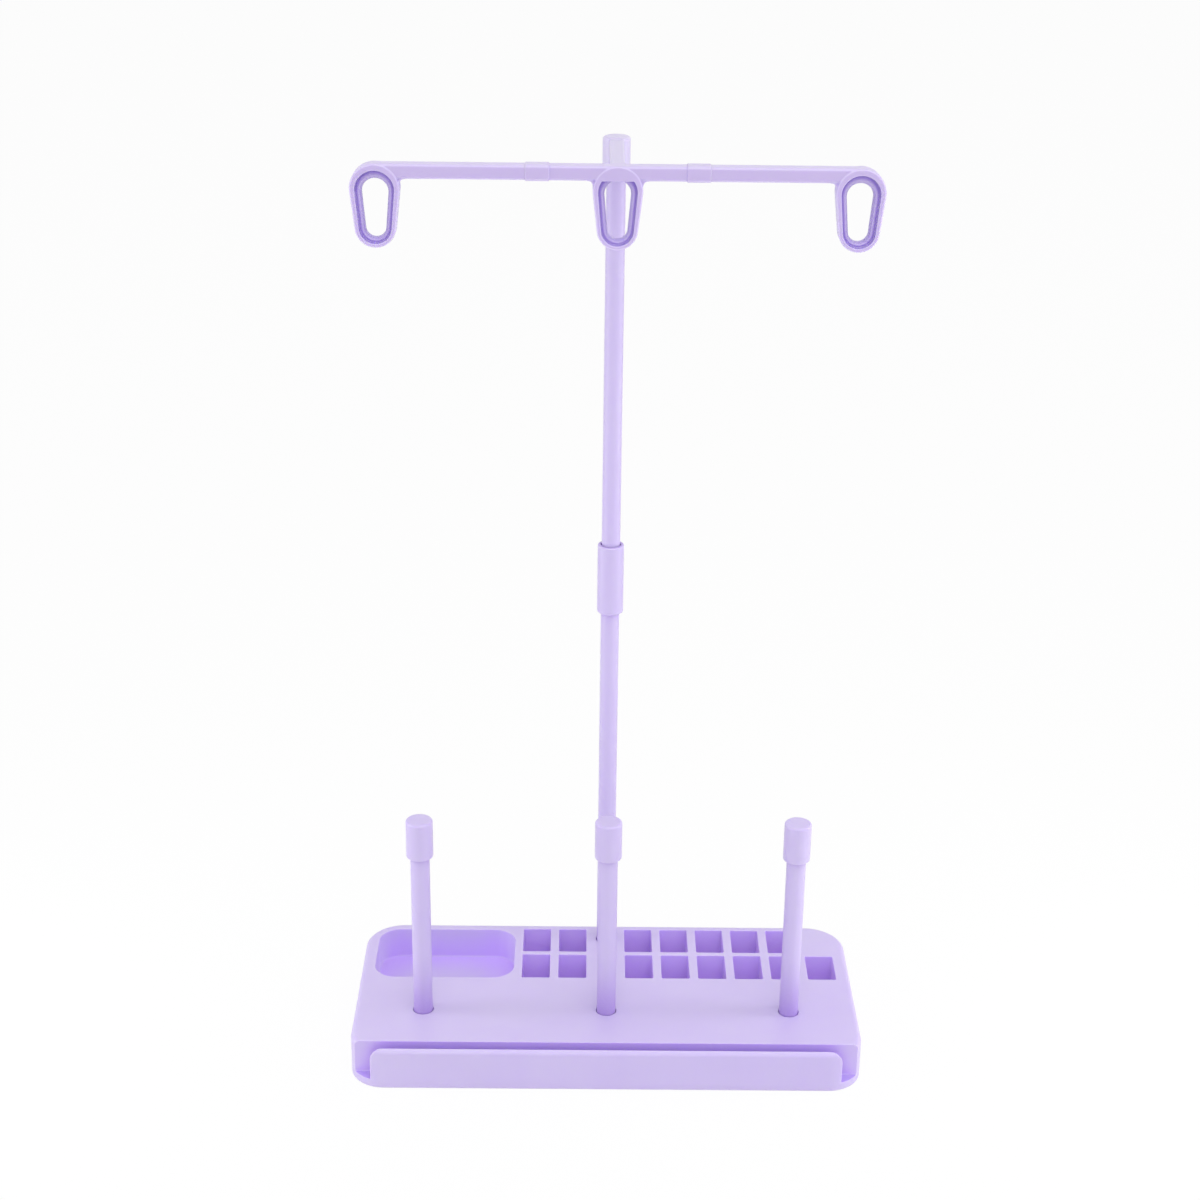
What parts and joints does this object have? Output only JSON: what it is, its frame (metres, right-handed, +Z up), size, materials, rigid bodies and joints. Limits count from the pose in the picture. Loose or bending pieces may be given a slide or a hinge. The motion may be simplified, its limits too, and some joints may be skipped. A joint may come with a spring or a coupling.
{
  "type": "thread cone stand",
  "caption": "Plastic thread stand: flat base with upright capped spool pins, bobbin slots, a small tray and a front slot, and a tall pole with a bar of thread eyes.",
  "frame": {"origin": "centre of the base's underside, on the surface the stand rests on", "axes": "+X to the user's right, +Y from the front slot towards the pole at the back, +Z up"},
  "size_m": [0.245, 0.115, 0.4337],
  "materials": {
    "lavender_plastic": "satin moulded plastic, pale lavender"
  },
  "bodies": {
    "housing": {"base": "lavender_plastic"},
    "pin_left": {"spool_pin_left": "lavender_plastic"},
    "cap_left": {"spool_cap_left": "lavender_plastic"},
    "pin_middle": {"spool_pin_middle": "lavender_plastic"},
    "cap_middle": {"spool_cap_middle": "lavender_plastic"},
    "pin_right": {"spool_pin_right": "lavender_plastic"},
    "cap_right": {"spool_cap_right": "lavender_plastic"},
    "lower_pole": {"pole_lower": "lavender_plastic"},
    "upper_pole": {"pole_upper": "lavender_plastic"},
    "head": {"guide_head": "lavender_plastic"},
    "left_arm": {"guide_arm_left": "lavender_plastic"},
    "right_arm": {"guide_arm_right": "lavender_plastic"}
  },
  "joints": [
    {"name": "pin_left_lift_out", "type": "slide", "parent": "housing", "child": "pin_left", "axis": [0, 0, 1], "range_m": [0, 0.02]},
    {"name": "cap_left_pull_off", "type": "slide", "parent": "pin_left", "child": "cap_left", "axis": [0, 0, 1], "range_m": [0, 0.016]},
    {"name": "pin_middle_lift_out", "type": "slide", "parent": "housing", "child": "pin_middle", "axis": [0, 0, 1], "range_m": [0, 0.02]},
    {"name": "cap_middle_pull_off", "type": "slide", "parent": "pin_middle", "child": "cap_middle", "axis": [0, 0, 1], "range_m": [0, 0.016]},
    {"name": "pin_right_lift_out", "type": "slide", "parent": "housing", "child": "pin_right", "axis": [0, 0, 1], "range_m": [0, 0.02]},
    {"name": "cap_right_pull_off", "type": "slide", "parent": "pin_right", "child": "cap_right", "axis": [0, 0, 1], "range_m": [0, 0.016]},
    {"name": "lower_pole_lift_out", "type": "slide", "parent": "housing", "child": "lower_pole", "axis": [0, 0, 1], "range_m": [0, 0.02]},
    {"name": "upper_pole_lift_out", "type": "slide", "parent": "lower_pole", "child": "upper_pole", "axis": [0, 0, 1], "range_m": [0, 0.03]},
    {"name": "head_swivel", "type": "hinge", "parent": "upper_pole", "child": "head", "pos_m": [0, 0.04405, 0.4331], "axis": [0, 0, 1], "continuous": true},
    {"name": "left_arm_pull_out", "type": "slide", "parent": "head", "child": "left_arm", "axis": [-1, 0, 0], "range_m": [0, 0.011]},
    {"name": "right_arm_pull_out", "type": "slide", "parent": "head", "child": "right_arm", "axis": [1, 0, 0], "range_m": [0, 0.011]}
  ]
}
